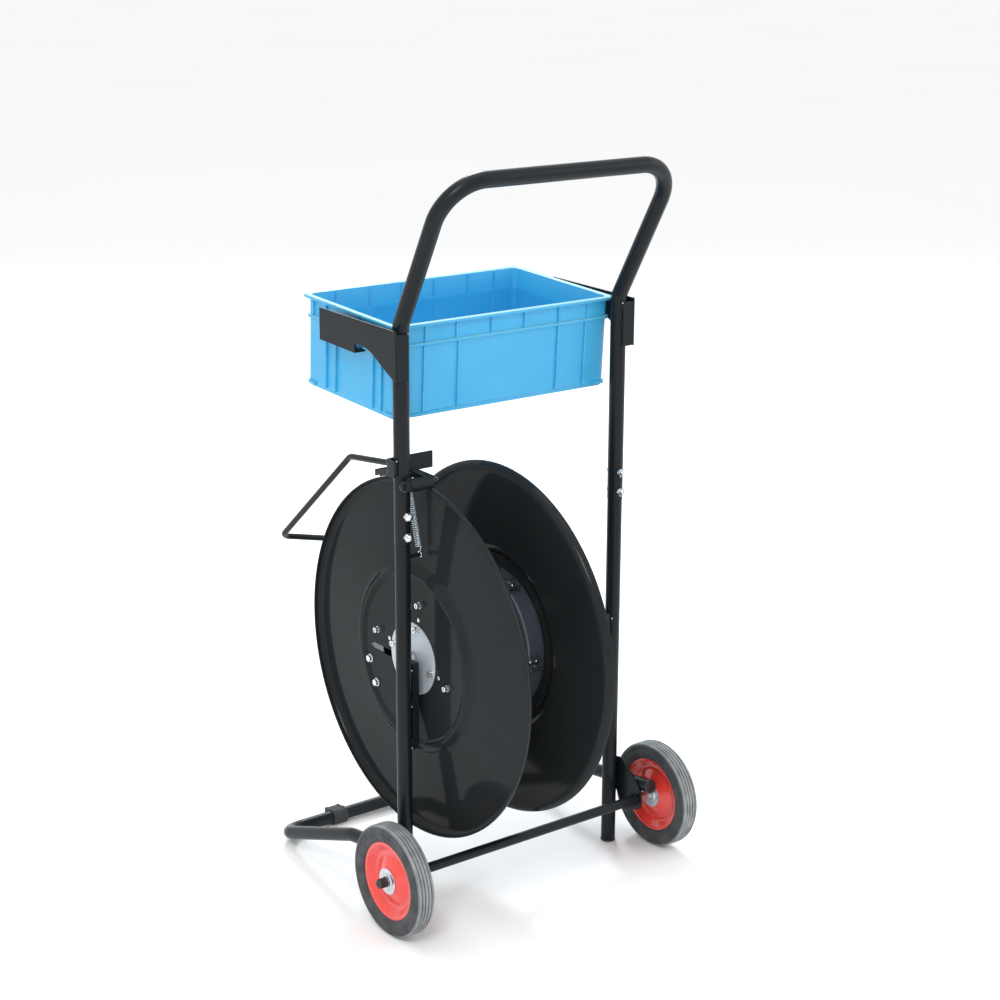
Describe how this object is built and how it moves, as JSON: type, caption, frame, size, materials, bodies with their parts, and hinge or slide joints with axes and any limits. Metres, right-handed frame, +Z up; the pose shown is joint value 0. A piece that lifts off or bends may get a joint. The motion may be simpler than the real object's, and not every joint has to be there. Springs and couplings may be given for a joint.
{
  "type": "strapping dispenser cart",
  "caption": "Wheeled tube cart with a large two-disc strap reel, sprung brake lever, front foot and lift-off tool crate.",
  "frame": {"origin": "on the floor, under the middle of the whole cart's bounding box", "axes": "+X to the operator's right along the wheel and reel axes, +Y away from the operator towards the front foot, +Z up"},
  "size_m": [0.596, 0.6895, 1.1725],
  "materials": {
    "frame_paint": "gloss black powder coat",
    "disc_paint": "gloss black enamel on pressed sheet",
    "zinc": "bright zinc plate",
    "bright_steel": "plain turned steel, lightly oiled",
    "red_paint": "gloss red enamel",
    "tyre_rubber": "grey black solid rubber, worn ribs",
    "black_rubber": "matt moulded rubber",
    "black_plastic": "satin moulded polyethylene",
    "bush_nylon": "natural nylon",
    "blue_plastic": "satin sky blue polypropylene"
  },
  "bodies": {
    "frame": {"axle_end_caps": "black_plastic", "axle_rod": "bright_steel", "axle_spacers": "frame_paint", "axle_washers": "zinc", "base_end_caps": "black_plastic", "base_tube": "frame_paint", "brake_spring": "zinc", "cross_tube": "frame_paint", "front_foot_pads": "black_rubber", "handle_tube": "frame_paint", "left_axle_plate": "frame_paint", "left_lower_post": "frame_paint", "left_shaft_saddle": "frame_paint", "left_tray_bracket": "frame_paint", "pivot_sleeve": "frame_paint", "post_foot_caps": "black_plastic", "post_joint_bolts": "frame_paint", "post_joint_nuts": "zinc", "reel_shaft": "bright_steel", "reel_stop_collars": "bright_steel", "right_axle_plate": "frame_paint", "right_lower_post": "frame_paint", "right_shaft_saddle": "frame_paint", "right_tray_bracket": "frame_paint", "shaft_thrust_collar": "bright_steel", "spring_stud": "frame_paint", "stop_strip": "frame_paint"},
    "reel": {"left_disc": "disc_paint", "right_disc": "disc_paint", "left_hub_plate": "zinc", "right_hub_plate": "zinc", "hub_screws": "zinc", "disc_bolts": "zinc", "disc_nuts": "zinc", "core_drum": "disc_paint", "hub_spool": "bright_steel", "hub_bushes": "bush_nylon", "strap_clips": "zinc", "strap_anchor": "zinc", "anchor_bolts": "zinc"},
    "brake_lever": {"lever_rod": "frame_paint", "pivot_nut": "frame_paint", "brake_shoe": "frame_paint", "brake_lining": "black_rubber"},
    "left_wheel": {"left_tyre": "tyre_rubber", "left_rim_outer_half": "red_paint", "left_rim_inner_half": "red_paint", "left_wheel_hub": "bright_steel", "left_wheel_bearings": "zinc", "left_bearing_covers": "zinc"},
    "right_wheel": {"right_tyre": "tyre_rubber", "right_rim_outer_half": "red_paint", "right_rim_inner_half": "red_paint", "right_wheel_hub": "bright_steel", "right_wheel_bearings": "zinc", "right_bearing_covers": "zinc"},
    "crate": {"tool_crate": "blue_plastic"}
  },
  "joints": [
    {"name": "reel_spin", "type": "hinge", "parent": "frame", "child": "reel", "pos_m": [-0.094, -0.0588, 0.407], "axis": [1, 0, 0], "continuous": true},
    {"name": "left_wheel_spin", "type": "hinge", "parent": "frame", "child": "left_wheel", "pos_m": [-0.2687, -0.1368, 0.089], "axis": [1, 0, 0], "continuous": true},
    {"name": "right_wheel_spin", "type": "hinge", "parent": "frame", "child": "right_wheel", "pos_m": [0.2687, -0.1368, 0.089], "axis": [1, 0, 0], "continuous": true},
    {"name": "brake_lift", "type": "hinge", "parent": "frame", "child": "brake_lever", "pos_m": [-0.19, -0.1065, 0.701], "axis": [1, 0, 0], "range_deg": [0, 6], "stiffness_Nm_per_rad": 2.5, "springref_deg": -11.46, "deforming": ["brake_spring"]},
    {"name": "crate_lift", "type": "slide", "parent": "frame", "child": "crate", "axis": [0, 0, 1], "range_m": [0, 0.2]}
  ]
}
